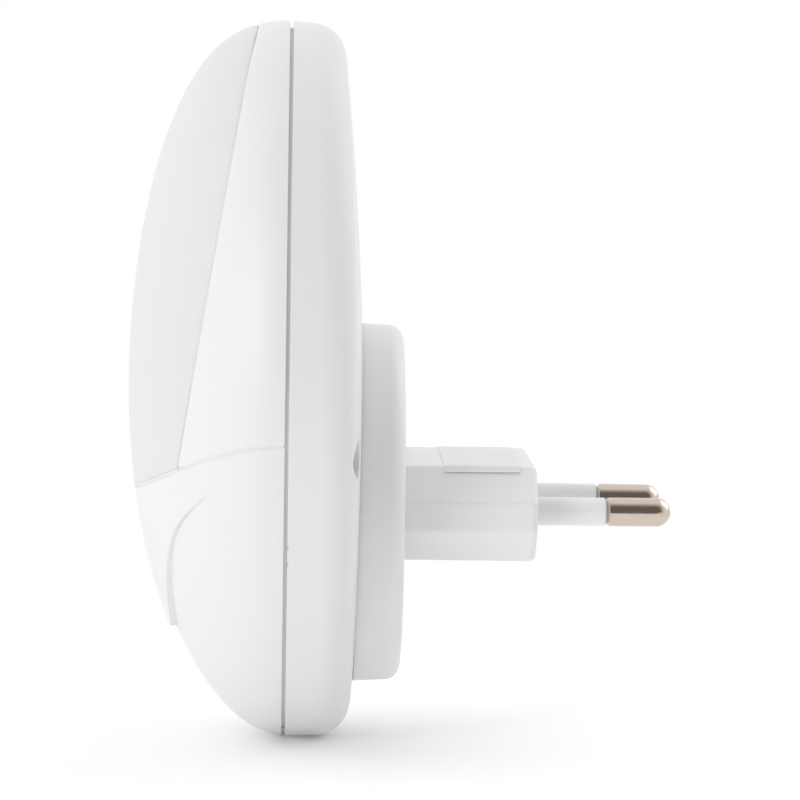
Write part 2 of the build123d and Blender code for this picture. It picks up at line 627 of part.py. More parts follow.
def contact_rings():
    """Two rings on the retainer, each with a tab over one pin's tail."""
    y_span = (RING_FRONT_Y, RETAINER_FRONT_Y)
    tab_z = (-RING_TAB_HALF_WIDTH, RING_TAB_HALF_WIDTH)
    wide_inner = OUTER_RING_RADIUS - RING_WIDTH
    wide = tube(OUTER_RING_RADIUS, wide_inner, *y_span)
    wide += bar((TAIL_X - RING_TAB_REACH, wide_inner + FIT), y_span, tab_z)
    narrow = tube(INNER_RING_RADIUS, INNER_RING_RADIUS - RING_WIDTH, *y_span)
    narrow += bar((-TAIL_X - RING_TAB_REACH, -INNER_RING_RADIUS + FIT), y_span, tab_z)
    return [wide, narrow]


def rating_label():
    """Blank label on the top of the plug block, wrapped over one chamfer."""
    skin = block_section(LABEL_THICKNESS) - block_section(FIT / 5)
    band = prism(skin, -LABEL_FROM_NOSE - LABEL_LENGTH, -LABEL_FROM_NOSE)
    return band & bar(LABEL_SPAN, (-BLOCK_LENGTH, 0), (BLOCK_HEIGHT / 4, BLOCK_HEIGHT))


# ------------------------------------------------------------------ screws of the head
def housing_screws():
    """Two long screws from the back through the ears into the frame's bosses."""
    return both_sides(screw(SCREW_SHANK_RADIUS, SCREW_LENGTH - 2 * LOOSE, SCREW_HEAD_RADIUS,
                            SCREW_HEAD_HEIGHT, HOUSING_SCREW_X, HOUSING_SCREW_Z, WELL_FLOOR_Y, 1))


def board_screws():
    """Four short screws that hold the circuit board to the back shell's posts."""
    screws = []
    for x, z in BOARD_POSTS:
        screws += both_sides(small_screw(SMALL_SCREW_LENGTH, x, z, BOARD_FRONT_Y))
    return screws


# ------------------------------------------------------------------ electronics
def circuit_board():
    """Board with its flat sides, flat top and a lower end that follows the housing."""
    half = BOARD_WIDTH / 2
    board = prism(oval(BOARD_INSET), BOARD_FRONT_Y, BOARD_BACK_Y)
    board &= bar((-half, half), (-FAR, 0), (HEAD_LOW_Z, BOARD_TOP_Z))
    for x, z in BOARD_POSTS:
        hole = rod(SMALL_SHANK_RADIUS + SEAT, BOARD_FRONT_Y - 1.0, BOARD_BACK_Y + 1.0, x, z)
        for one in both_sides(hole):
            board -= one
    for hole in both_sides(tray_peg(SEAT)):
        board -= hole
    return board


def tray_peg(grow):
    """Peg that locates the reflector tray in the board."""
    x = TRAY_BASE[0] / 2 - 2 * TRAY_PEG_RADIUS
    z = TRAY_CENTRE_Z + TRAY_BASE[1] / 2 - TRAY_PEG_FROM_EDGE
    return rod(TRAY_PEG_RADIUS + grow, COMPONENT_Y - FIT, BOARD_BACK_Y, x, z)


def tray_block(shrink, y_back, y_front):
    """Flared block with the tray's outer shape, shrunk by a wall."""
    faces = []
    for size, y in ((TRAY_BASE, y_back), (TRAY_MOUTH, y_front)):
        outline = RectangleRounded(size[0] - 2 * shrink, size[1] - 2 * shrink, TRAY_CORNER_RADIUS - shrink)
        faces.append(Pos(0, y, TRAY_CENTRE_Z) * Rot(90, 0, 0) * outline)
    return loft(faces)


def led_reflector():
    """Flared white tray round the LEDs."""
    front = COMPONENT_Y - TRAY_DEPTH
    tray = tray_block(0, COMPONENT_Y, front)
    tray -= tray_block(TRAY_WALL, COMPONENT_Y - TRAY_WALL, front - FIT / 5)
    for led in leds():
        box = led.bounding_box()
        tray -= bar((box.min.X - LOOSE, box.max.X + LOOSE), (COMPONENT_Y + 1.0, COMPONENT_Y - 2 * TRAY_WALL),
                    (box.min.Z - LOOSE, box.max.Z + LOOSE))
    for peg in both_sides(tray_peg(0)):
        tray += peg
    return tray


def leds():
    """LED chips in two columns."""
    chips = []
    for z in LED_ROWS_Z:
        chips += both_sides(upright_box(LED_SIZE, (LED_COLUMN_X, z)))
    return chips


def light_sensor():
    """Phototransistor on the board, behind the sensor window."""
    body = rod(SENSOR_RADIUS, COMPONENT_Y, COMPONENT_Y - SENSOR_HEIGHT + SENSOR_RADIUS, z=SENSOR_Z)
    body += rod(SENSOR_RADIUS + SENSOR_FLANGE, COMPONENT_Y, COMPONENT_Y - 1.0, z=SENSOR_Z)
    return body + Pos(0, COMPONENT_Y - SENSOR_HEIGHT + SENSOR_RADIUS, SENSOR_Z) * Sphere(SENSOR_RADIUS)


def sensor_shroud(shroud_dome):
    """Black tube from the board to the sensor window, cut to the cover's inner surface."""
    inner = SHROUD_RADIUS - SHROUD_WALL
    return tube(SHROUD_RADIUS, inner, COMPONENT_Y, PARTING_Y - DOME_DEPTH, z=SENSOR_Z) & shroud_dome


def film_capacitor():
    """Box-shaped dropper capacitor."""
    return upright_box(FILM_CAPACITOR, FILM_CAPACITOR_AT)


def electrolytic_capacitor():
    """Round smoothing capacitor with its crimp groove."""
    x, z = ELECTROLYTIC_AT
    can = rod(ELECTROLYTIC_RADIUS, COMPONENT_Y, COMPONENT_Y - ELECTROLYTIC_HEIGHT, x, z)
    groove_y = COMPONENT_Y - CRIMP_FROM_BOARD
    return can - tube(ELECTROLYTIC_RADIUS + 1.0, ELECTROLYTIC_RADIUS - CRIMP_DEPTH, groove_y,
                      groove_y - CRIMP_WIDTH, x, z)


def legs(places, length):
    """Straight legs from the board."""
    return [rod(LEG_RADIUS, COMPONENT_Y, COMPONENT_Y - length, x, z) for x, z in places]


def varistor():
    """Disc varistor standing on two legs."""
    x, z = VARISTOR_AT
    lift = LEG_LENGTH + VARISTOR_RADIUS
    body = Pos(x, COMPONENT_Y - lift, z) * Cylinder(VARISTOR_RADIUS, VARISTOR_THICKNESS)
    half = VARISTOR_LEG_SPACING / 2
    for leg in legs([(x - half, z), (x + half, z)], lift):
        body += leg
    return body


def fuse_resistor():
    """Axial fusible resistor with bent legs."""
    x, z = FUSE_AT
    lift = LEG_LENGTH + FUSE_RADIUS
    y = COMPONENT_Y - lift
    body = Pos(x, y, z) * Rot(0, 90, 0) * Cylinder(FUSE_RADIUS, FUSE_LENGTH)
    body += Pos(x, y, z) * Rot(0, 90, 0) * Cylinder(LEG_RADIUS, FUSE_LEG_SPAN)
    half = FUSE_LEG_SPAN / 2 - LEG_RADIUS
    for leg in legs([(x - half, z), (x + half, z)], lift + LEG_RADIUS):
        body += leg
    return body


def bridge_rectifier():
    """Four-legged rectifier package."""
    body = upright_box(BRIDGE_SIZE, BRIDGE_AT)
    x, z = BRIDGE_AT
    reach = BRIDGE_SIZE[0] / 2 + BRIDGE_LEG_REACH
    for leg_z in (z - BRIDGE_LEG_PITCH / 2, z + BRIDGE_LEG_PITCH / 2):
        body += bar((x - reach, x + reach), (COMPONENT_Y, COMPONENT_Y - BRIDGE_LEG_HEIGHT),
                    (leg_z - BRIDGE_LEG_WIDTH / 2, leg_z + BRIDGE_LEG_WIDTH / 2))
    return body


def resistors():
    """Flat chip resistors."""
    return [upright_box(RESISTOR_SIZE, at) for at in RESISTORS_AT]


def contact_springs():
    """Leaf springs from the back of the board to the contact rings."""
    half = SPRING_THICKNESS / 2
    base_y = BOARD_BACK_Y + FIT + half
    tip_y = RING_FRONT_Y - FIT - half
    curl_y = tip_y - SPRING_CURL_RISE
    knee_y = base_y + (tip_y - base_y) * SPRING_KNEE
    path = Polyline((0, base_y, SPRING_REACH + SPRING_FOOT), (0, base_y, SPRING_REACH),
                    (0, knee_y, SPRING_REACH * SPRING_KNEE), (0, curl_y, SPRING_CURL_HALF))
    curl = ThreePointArc((0, curl_y, SPRING_CURL_HALF), (0, tip_y, 0), (0, curl_y, -SPRING_CURL_HALF))
    strip = strip_along(path + curl, SPRING_THICKNESS)
    spring = extrude(strip, SPRING_WIDTH / 2, dir=(1, 0, 0), both=True)
    places = (OUTER_RING_RADIUS - RING_WIDTH / 2, -INNER_RING_RADIUS + RING_WIDTH / 2)
    return [Pos(x, 0, 0) * spring for x in places]


def strip_along(path, thickness):
    """Face of even thickness along a line drawn in the YZ plane."""
    flat = Plane.YZ.to_local_coords(path)
    return Plane.YZ * trace(flat, thickness)


# ------------------------------------------------------------------ files
def write(name, shape):
    """Write one node; a list of solids becomes a group in one file."""
    solids = []
    for item in shape if isinstance(shape, list) else [shape]:
        solids += item.solids()
    export_step(Compound(children=solids) if len(solids) > 1 else solids[0], "parts/" + name + ".step")


def write_front():
    """Front mouldings, which share the domes and wall layers made here."""
    outer = dome(0)
    face = dome(0, FACE_WIDTH, FACE_LOWER_FULLNESS)
    core = dome(SHELL_WALL)
    mid_dome = dome(SHELL_WALL / 2)
    cover_zone = (outer - dome(SHELL_WALL + LOOSE)) - above_seam(SEAM_GAP / 2)
    skirt_inset = SHELL_WALL + SEAT
    thick_layer = dome(SHELL_WALL * 0.75) - dome(skirt_inset + SKIRT_THICKNESS)
    thin_layer = thick_layer & dome(skirt_inset)
    write("front_frame", front_frame(outer, core, mid_dome, cover_zone))
    write("diffuser", diffuser(face, core, thick_layer, thin_layer))
    write("lower_cover", lower_cover(outer, face, core, thick_layer, thin_layer, mid_dome))
    write("sensor_window", sensor_window(face, core))
    write("sensor_shroud", sensor_shroud(dome(skirt_inset + LOOSE)))


def main():
    os.makedirs("parts", exist_ok=True)
    write_front()
    write("back_shell", back_shell())
    write("plug_disc", plug_disc())
    write("plug_pins", plug_pins())
    write("pin_sleeves", pin_sleeves())
    write("pin_holder", pin_holder())
    write("disc_retainer", disc_retainer())
    write("retainer_screws", retainer_screws())
    write("wave_washer", wave_washer())
    write("contact_rings", contact_rings())
    write("contact_springs", contact_springs())
    write("rating_label", rating_label())
    write("housing_screws", housing_screws())
    write("board_screws", board_screws())
    write("circuit_board", circuit_board())
    write("leds", leds())
    write("led_reflector", led_reflector())
    write("light_sensor", light_sensor())
    write("film_capacitor", film_capacitor())
    write("electrolytic_capacitor", electrolytic_capacitor())
    write("varistor", varistor())
    write("fuse_resistor", fuse_resistor())
    write("bridge_rectifier", bridge_rectifier())
    write("resistors", resistors())


main()
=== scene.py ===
"""The looks of the plug-in night light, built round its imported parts.

Every object is in metres, in the frame of the parts: the plug points along +Y, the lit face looks
along -Y and +Z is up. The sizes named below are in millimetres unless they say otherwise.
"""
import math

import bmesh
import bpy
from mathutils import Matrix, Vector
from mathutils.bvhtree import BVHTree


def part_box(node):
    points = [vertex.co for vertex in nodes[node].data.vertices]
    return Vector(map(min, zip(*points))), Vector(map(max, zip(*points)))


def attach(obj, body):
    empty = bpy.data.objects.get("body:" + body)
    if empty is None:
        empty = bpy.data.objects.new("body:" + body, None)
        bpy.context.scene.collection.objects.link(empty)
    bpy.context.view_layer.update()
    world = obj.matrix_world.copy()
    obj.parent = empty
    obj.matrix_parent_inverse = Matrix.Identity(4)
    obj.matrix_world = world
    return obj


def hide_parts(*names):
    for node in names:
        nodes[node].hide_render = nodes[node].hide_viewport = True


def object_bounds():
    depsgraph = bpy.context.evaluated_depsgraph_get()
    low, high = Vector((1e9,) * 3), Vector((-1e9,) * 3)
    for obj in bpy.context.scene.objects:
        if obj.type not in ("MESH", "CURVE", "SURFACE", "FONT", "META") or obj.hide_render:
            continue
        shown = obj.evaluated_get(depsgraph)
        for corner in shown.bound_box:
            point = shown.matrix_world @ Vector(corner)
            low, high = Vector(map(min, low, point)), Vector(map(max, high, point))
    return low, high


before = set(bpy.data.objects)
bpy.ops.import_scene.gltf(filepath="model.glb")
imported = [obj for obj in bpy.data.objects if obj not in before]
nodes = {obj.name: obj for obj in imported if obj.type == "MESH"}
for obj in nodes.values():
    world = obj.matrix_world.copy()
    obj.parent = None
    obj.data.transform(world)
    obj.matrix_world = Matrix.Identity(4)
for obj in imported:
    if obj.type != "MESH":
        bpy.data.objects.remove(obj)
cad_low, cad_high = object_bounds()

MM = 0.001
GROOVE_FRONT_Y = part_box("front_frame")[1].y  # metres

# ---- camera: how the lamp's axes and origin lie before it, in metres to the right, up and back
IMAGE_PIXELS = 800
SENSOR_WIDTH = 36.0
FOCAL_PIXELS = 4089.0
LAMP_X_SEEN = (0.0269, -0.0880, 1.0)
LAMP_Y_SEEN = (1.0, -0.0131, -0.02805)
LAMP_ORIGIN_SEEN = (0.01858, -0.01471, -0.58)
CLIP_NEAR = 0.02
CLIP_FAR = 20.0

# ---- room: strength of its light by axis (0, 1, 2) and direction along it
ROOM_LIGHT = {(0, 1): 0.15, (0, -1): 1.00, (1, 1): 0.32, (1, -1): 0.90, (2, 1): 1.08}
LOBE_POWER = 2.0

# ---- dark side that reflections show: direction, cosines where it is full and where it ends, light left
DARK_SIDE = (0.927, 0.0, 0.375)
DARK_FULL = 0.89
DARK_EDGE = 0.46
DARK_LEVEL = 0.16

# ---- lamps: name, then place, target and size in metres, and power in watts
SOFTBOXES = (
    ("key", (0.74, -0.68, 0.26), (0, 0, 0.02), 0.28, 2.36),
    ("rear", (-0.35, 0.70, 0.55), (0, 0, 0), 0.8, 2.1),
)

# ---- table, in metres: it shows its shadow near the lamp and plain white further off
FLOOR_RADIUS = 3.0
FLOOR_STEPS = 96
FLOOR_GREY = 0.95
FLOOR_SHOWN = 1.08
FLOOR_GLOW = 0.08
FADE_MIDDLE = (0.0, 0.02, 0.0)
FADE_FROM = 0.045
FADE_TO = 0.11

# ---- plug block and the label on it
BLOCK_HALF_WIDTH = 17.65
BLOCK_HALF_HEIGHT = 6.6
BLOCK_CHAMFER = 4.6
BLOCK_CHAMFER_DEGREES = 45.0
BLOCK_EDGE_RADIUS = 0.9
LABEL_THICKNESS = 0.1
LABEL_GLUE = 0.015
LABEL_LIFT = 0.24
LABEL_LIFT_NEAR_SHARE = 0.35
LABEL_FLAT_STEPS = 24
LABEL_BEND_STEPS = 6
LABEL_ROWS = 20
LABEL_LOOSE_STEPS = 5

# ---- where the seam and the window's rim run
SEAM_LOW_Z = 2.65
SEAM_RADIUS = 87.0
SEAM_REACH_DEGREES = 89.3
SEAM_HALF_STEPS = 40
RIM_DEPTH = 5.45
RIM_DROP = 5.7
RIM_SLOPE = 0.165
RIM_FROM_DEGREES = -24.0
RIM_TO_DEGREES = 82.0
RIM_STEPS = 60
HEAD_MIDDLE_Z = 17.2
RAY_START = 0.2  # metres, well outside the head
BESIDE_LINE = 0.45
SETTLING_ROUNDS = 6

# ---- ribbons in those two lines, and the band in the parting groove, whose grey is painted shade
RIBBON_WIDTH = 0.60
RIBBON_THICKNESS = 0.3
SEAM_LINE_DEPTH = 0.08
RIM_LINE_DEPTH = 0.005
RIM_TOP_DEPTH = 0.5
RIM_DEEPENS_FROM = 0.66  # share of the rim's way from the seam to the top
GROOVE_WIDTH = 0.5
GROOVE_DEPTH = 1.0
BESIDE_GROOVE = 1.0
NOTCH_REACH = 0.2
BAND_DEPTH = 0.40
BAND_CLEARANCE = 0.01
BAND_ABOVE_BED = 0.05
BAND_IN_BED = 0.3
BAND_OPEN_DEGREES = 14.0
BAND_STEPS = 240

# ---- lower cover: its soft edges turn crisp over this last stretch before the groove
CRISP_FROM = 2.0
CRISP_TO = 0.9
CRISP_EDGE = 0.08

# ---- housing screws
SCREW_HEAD_RADIUS = 2.4
SCREW_HEAD_HEIGHT = 1.6
SCREW_HEAD_CROWN = 0.35
SCREW_SHANK_RADIUS = 1.2
SCREW_TIP = 1.5
SCREW_TIP_SHARE = 0.35
CROWN_STEPS = 8
CROSS_WIDTH = 0.75
CROSS_REACH = 1.35
CROSS_DEPTH = 1.1
CROSS_ABOVE = 0.2
CROSS_FLOOR_REACH_SHARE = 0.45
CROSS_FLOOR_WIDTH_SHARE = 0.6
ROUND_STEPS = 64

# ---- finishes: sizes and fineness of their drifts, patches and grain, and the range of their noise
TONE_DRIFT = 18
TONE_DETAIL = 3
GLOSS_PATCH = 6
GLOSS_DETAIL = 5
GRAIN_DETAIL = 2
METAL_DRIFT = 3
METAL_DETAIL = 4
NOISE_LOW = 0.3
NOISE_HIGH = 0.7
GLOSS_SPREAD = 0.04
METAL_GLOSS_SHARE = 0.35
BEVEL_SAMPLES = 8
SMOOTH_DEGREES = 35

# ---- circuit board
MASK_GREEN = (0.03, 0.20, 0.08, 1)
MASK_GREEN_PALER = (0.04, 0.24, 0.10, 1)
TRACK_GREEN = (0.10, 0.38, 0.16, 1)
TRACK_SPACING = 9
TRACK_WIDTH = 0.05  # share of the spacing
TRACK_HEIGHT = 0.03
BOARD_ROUGHNESS = 0.35
BOARD_GLOSS_SPREAD = 0.06
BOARD_GLOSS_PATCH = 2
BOARD_EDGE = 0.05

# ---- label film
FILM_COLOUR = (0.80, 0.80, 0.81)
FILM_METALLIC = 0.2
FILM_TONE = 0.03
FILM_TONE_DRIFT = 2.5
FILM_TONE_STRETCH = (3, 1, 1)
FILM_ROUGHNESS = 0.40
FILM_GLOSS_SPREAD = 0.05
FILM_GLOSS_PATCH = 1.5
FILM_GLOSS_DETAIL = 4
FILM_WAVE = 3.0
FILM_WAVE_STRETCH = (2, 1, 1)
FILM_WAVE_DEPTH = 0.01

PLASTICS = {
    "shell_white": dict(colour=(0.84, 0.84, 0.835), roughness=0.42, inner=0.10, reach=0.5),
    "cover_white": dict(colour=(0.84, 0.84, 0.835), roughness=0.42, edge=0.9, inner=0.10, reach=0.5,
                        crisp_groove=True),
    "ribbon_white": dict(colour=(0.84, 0.84, 0.835), roughness=0.42, edge=0.0, inner=0.10, reach=0.5),
    # the groove band's grey, darker than the mouldings' white, is painted shade in the parting groove
    "groove_band_painted_shade": dict(colour=(0.70, 0.69, 0.69), roughness=0.6, edge=0.0),
    "back_white": dict(colour=(0.845, 0.835, 0.84), roughness=0.38, inner=0.10, reach=0.5),
    "opal_white": dict(colour=(0.76, 0.76, 0.76), roughness=0.42, grain=0.10, edge=0.08, inner=0.5,
                       reach=1.5),
    "plug_white": dict(colour=(0.85, 0.84, 0.85), roughness=0.38, edge=0.2, inner=0.10, reach=0.5),
    "sleeve_white": dict(colour=(0.87, 0.86, 0.87), roughness=0.40, grain=0.2, edge=0.1, inner=0.2),
    "reflector_white": dict(colour=(0.88, 0.88, 0.88), roughness=0.30, edge=0.2),
    "shroud_black": dict(colour=(0.03, 0.03, 0.03), roughness=0.60, depth=0.004, tone=0.1),
    "led_white": dict(colour=(0.85, 0.80, 0.52), roughness=0.35, tone=0.05, inner=0.2, reach=0.4),
    "capacitor_yellow": dict(colour=(0.80, 0.60, 0.10), roughness=0.45, depth=0.003, tone=0.04),
    "capacitor_sleeve": dict(colour=(0.05, 0.05, 0.12), roughness=0.25, tone=0.1),
    "varistor_blue": dict(colour=(0.06, 0.16, 0.50), roughness=0.30, grain=0.6, depth=0.01, tone=0.08),
    "resistor_beige": dict(colour=(0.62, 0.50, 0.36), roughness=0.45, tone=0.06),
    "smoked_window": dict(colour=(0.10, 0.07, 0.07), roughness=0.12, grain=0.3, depth=0.0005, tone=0.03,
                          edge=0.05, through=0.35),
    "sensor_clear": dict(colour=(0.55, 0.57, 0.60), roughness=0.08, grain=0.3, depth=0.0005, tone=0.03,
                         edge=0.05, through=0.70),
}
METALS = {
    "nickel_plate": dict(colour=(0.63, 0.54, 0.46), roughness=0.17, brushing=(1, 12, 1), tone=0.04),
    "screw_steel": dict(colour=(0.55, 0.55, 0.56), roughness=0.30),
    "spring_steel": dict(colour=(0.60, 0.60, 0.61), roughness=0.25, brushing=(1, 6, 6)),
    "contact_brass": dict(colour=(0.78, 0.60, 0.32), roughness=0.22),
}
DRESSED = {
    "shell_white": ["front_frame"],
    "cover_white": ["lower_cover"],
    "back_white": ["back_shell"],
    "opal_white": ["diffuser"],
    "plug_white": ["plug_disc", "pin_holder", "disc_retainer"],
    "sleeve_white": ["pin_sleeves"],
    "nickel_plate": ["plug_pins"],
    "smoked_window": ["sensor_window"],
    "sensor_clear": ["light_sensor"],
    "shroud_black": ["sensor_shroud", "bridge_rectifier", "resistors"],
    "reflector_white": ["led_reflector"],
    "led_white": ["leds"],
    "board_green": ["circuit_board"],
    "capacitor_yellow": ["film_capacitor"],
    "capacitor_sleeve": ["electrolytic_capacitor"],
    "varistor_blue": ["varistor"],
    "resistor_beige": ["fuse_resistor"],
    "screw_steel": ["housing_screws", "board_screws", "retainer_screws"],
    "spring_steel": ["wave_washer", "contact_springs"],
    "contact_brass": ["contact_rings"],
    "label_silver": ["rating_label"],
}


# ------------------------------------------------------------------ camera and lamps
def add_camera():
    """Long lens beside the lamp."""
    across = Vector(LAMP_X_SEEN).normalized()
    along = Vector(LAMP_Y_SEEN)
    along = (along - across * along.dot(across)).normalized()
    up = across.cross(along)
    turn = Matrix((across, along, up)).transposed().to_4x4()
    data = bpy.data.cameras.new("camera")
    data.sensor_width = SENSOR_WIDTH
    data.lens = SENSOR_WIDTH * FOCAL_PIXELS / IMAGE_PIXELS
    data.clip_start = CLIP_NEAR
    data.clip_end = CLIP_FAR
    camera = bpy.data.objects.new("camera", data)
    bpy.context.scene.collection.objects.link(camera)
    camera.matrix_world = (Matrix.Translation(LAMP_ORIGIN_SEEN) @ turn).inverted()
    bpy.context.scene.camera = camera


def add_softbox(name, place, target, size, power):
    """Square area lamp at a place, aimed at a target."""
    data = bpy.data.lights.new(name, "AREA")
    data.shape = "SQUARE"
    data.size = size
    data.energy = power
    lamp = bpy.data.objects.new(name, data)
    bpy.context.scene.collection.objects.link(lamp)
    lamp.location = place
    lamp.rotation_mode = "QUATERNION"
    lamp.rotation_quaternion = (Vector(target) - Vector(place)).to_track_quat("-Z", "Y")


# ------------------------------------------------------------------ nodes that the finishes share
def math_node(tree, operation, first, second):
    """Result of one operation on two inputs; each is a number or another node's output."""
    node = tree.nodes.new("ShaderNodeMath")
    node.operation = operation
    for socket, value in zip(node.inputs, (first, second)):
        if isinstance(value, (int, float)):
            socket.default_value = value
        else:
            tree.links.new(value, socket)
    return node.outputs[0]


def ramp(tree, value, start, end, low=0.0, high=1.0):
    """Number that goes from low to high while the value goes from start to end."""
    node = tree.nodes.new("ShaderNodeMapRange")
    for socket, number in zip(("From Min", "From Max", "To Min", "To Max"), (start, end, low, high)):
        node.inputs[socket].default_value = number
    tree.links.new(value, node.inputs["Value"])
    return node.outputs["Result"]


def compare_vector(tree, operation, vector, constant):
    """Distance or dot product of a vector and a constant one."""
    node = tree.nodes.new("ShaderNodeVectorMath")
    node.operation = operation
    node.inputs[1].default_value = constant
    tree.links.new(vector, node.inputs[0])
    return node.outputs["Value"]


def parts_of(tree, vector):
    """The three outputs of a vector's coordinates."""
    split = tree.nodes.new("ShaderNodeSeparateXYZ")
    tree.links.new(vector, split.inputs[0])
    return split.outputs


def seen_directly(tree):
    """1 for the rays that show a background: from the camera, off metal or through glass."""
    path = tree.nodes.new("ShaderNodeLightPath")
    shown = math_node(tree, "MAXIMUM", path.outputs["Is Camera Ray"], path.outputs["Is Glossy Ray"])
    return math_node(tree, "MAXIMUM", shown, path.outputs["Is Transmission Ray"])


def mix_shaders(tree, factor, first, second):
    """Mix of two shaders."""
    mix = tree.nodes.new("ShaderNodeMixShader")
    tree.links.new(factor, mix.inputs["Fac"])
    tree.links.new(first, mix.inputs[1])
    tree.links.new(second, mix.inputs[2])
    return mix.outputs[0]


# ------------------------------------------------------------------ room
def room_strength(tree, direction):
    """Strength of the room's light from a direction: one soft lobe for each side."""
    total = None
    coordinates = parts_of(tree, direction)
    for (axis, side), strength in ROOM_LIGHT.items():
        towards = math_node(tree, "MULTIPLY", coordinates[axis], side)
        lobe = math_node(tree, "POWER", math_node(tree, "MAXIMUM", towards, 0.0), LOBE_POWER)
        part = math_node(tree, "MULTIPLY", lobe, strength)
        total = part if total is None else math_node(tree, "ADD", total, part)
    return total


def seen_strength(tree, direction):
    """White for the camera and through glass, with a dark side only for reflections."""
    towards_dark = compare_vector(tree, "DOT_PRODUCT", direction, DARK_SIDE)
    darkness = ramp(tree, towards_dark, DARK_EDGE, DARK_FULL, 0.0, 1.0 - DARK_LEVEL)
    path = tree.nodes.new("ShaderNodeLightPath")
    reflected = math_node(tree, "MULTIPLY", darkness, path.outputs["Is Glossy Ray"])
    return math_node(tree, "SUBTRACT", 1.0, reflected)


def add_world():
    """A soft room that lights the lamp, and the white one that is seen."""
    world = bpy.data.worlds.new("studio")
    bpy.context.scene.world = world
    world.use_nodes = True
    tree = world.node_tree
    tree.nodes.clear()
    direction = tree.nodes.new("ShaderNodeTexCoord").outputs["Generated"]
    backgrounds = []
    for strength in (room_strength(tree, direction), seen_strength(tree, direction)):
        background = tree.nodes.new("ShaderNodeBackground")
        background.inputs["Color"].default_value = (1, 1, 1, 1)
        tree.links.new(strength, background.inputs["Strength"])
        backgrounds.append(background.outputs[0])
    output = tree.nodes.new("ShaderNodeOutputWorld")
    tree.links.new(mix_shaders(tree, seen_directly(tree), *backgrounds), output.inputs["Surface"])


# ------------------------------------------------------------------ table
def diffuse(tree, grey):
    """Plain diffuse shader."""
    shader = tree.nodes.new("ShaderNodeBsdfDiffuse")
    shader.inputs["Color"].default_value = (grey, grey, grey, 1)
    return shader.outputs[0]


def emission(tree, strength):
    """Plain white glow."""
    shader = tree.nodes.new("ShaderNodeEmission")
    shader.inputs["Strength"].default_value = strength
    return shader.outputs[0]


def floor_white():
    """Pale surface that lights from below and shows as white away from the lamp."""
    material = bpy.data.materials.new("floor_white")
    material.use_nodes = True
    tree = material.node_tree
    tree.nodes.clear()
    lit = tree.nodes.new("ShaderNodeAddShader")
    tree.links.new(diffuse(tree, FLOOR_GREY), lit.inputs[0])
    tree.links.new(emission(tree, FLOOR_GLOW), lit.inputs[1])
    place = tree.nodes.new("ShaderNodeTexCoord").outputs["Object"]
    distance = compare_vector(tree, "DISTANCE", place, FADE_MIDDLE)
    fade = ramp(tree, distance, FADE_FROM, FADE_TO)
    fading = mix_shaders(tree, fade, diffuse(tree, FLOOR_SHOWN), emission(tree, 1.0))
    shown = mix_shaders(tree, seen_directly(tree), lit.outputs[0], fading)
    output = tree.nodes.new("ShaderNodeOutputMaterial")
    tree.links.new(shown, output.inputs["Surface"])
    return material


def add_floor(height):
    """Round table under the lamp."""
    mesh = bpy.data.meshes.new("floor")
    form = bmesh.new()
    bmesh.ops.create_circle(form, cap_ends=True, segments=FLOOR_STEPS, radius=FLOOR_RADIUS)
    form.to_mesh(mesh)
    form.free()
    mesh.materials.append(floor_white())
    floor = bpy.data.objects.new("floor", mesh)
    bpy.context.scene.collection.objects.link(floor)
    floor.location.z = height


# ------------------------------------------------------------------ finishes
def new_material(name):
    """Material with its tree, its shader and the object's own coordinates."""
    material = bpy.data.materials.new(name)
    material.use_nodes = True
    tree = material.node_tree
    place = tree.nodes.new("ShaderNodeTexCoord").outputs["Object"]
    return material, tree, tree.nodes["Principled BSDF"], place


def noise(tree, place, size, detail, stretch=(1, 1, 1)):
    """Noise with features of about a size, stretched along the axes."""
    scaled = tree.nodes.new("ShaderNodeVectorMath")
    scaled.operation = "MULTIPLY"
    scaled.inputs[1].default_value = [1 / (size * MM * s) for s in stretch]
    texture = tree.nodes.new("ShaderNodeTexNoise")
    texture.inputs["Scale"].default_value = 1.0
    texture.inputs["Detail"].default_value = detail
    tree.links.new(place, scaled.inputs[0])
    tree.links.new(scaled.outputs[0], texture.inputs["Vector"])
    return texture.outputs["Fac"]


def vary_colour(tree, shader, factor, colour, tone):
    """Let the colour drift a little darker and lighter."""
    colours = tree.nodes.new("ShaderNodeMix")
    colours.data_type = "RGBA"
    colours.inputs["A"].default_value = (*[c * (1 - tone) for c in colour], 1)
    colours.inputs["B"].default_value = (*[min(1.0, c * (1 + tone)) for c in colour], 1)
    tree.links.new(factor, colours.inputs["Factor"])
    tree.links.new(colours.outputs["Result"], shader.inputs["Base Color"])


def vary_roughness(tree, shader, factor, middle, spread):
    """Let the gloss change from patch to patch."""
    gloss = ramp(tree, factor, NOISE_LOW, NOISE_HIGH, middle - spread, middle + spread)
    tree.links.new(gloss, shader.inputs["Roughness"])


def crisp_at_groove(tree, place, edge):
    """Edge radius in metres that falls to a small one just before the parting groove."""
    start, end = GROOVE_FRONT_Y - CRISP_FROM * MM, GROOVE_FRONT_Y - CRISP_TO * MM
    return ramp(tree, parts_of(tree, place)["Y"], start, end, edge * MM, CRISP_EDGE * MM)


def add_relief(tree, shader, height, depth, edge, radius=None):
    """Fine relief of a depth over edges that look rounded, by one radius or by a varying one."""
    bump = tree.nodes.new("ShaderNodeBump")
    bump.inputs["Distance"].default_value = depth * MM
    tree.links.new(height, bump.inputs["Height"])
    if edge:
        bevel = tree.nodes.new("ShaderNodeBevel")
        bevel.samples = BEVEL_SAMPLES
        bevel.inputs["Radius"].default_value = edge * MM
        if radius:
            tree.links.new(radius, bevel.inputs["Radius"])
        tree.links.new(bevel.outputs["Normal"], bump.inputs["Normal"])
    tree.links.new(bump.outputs["Normal"], shader.inputs["Normal"])


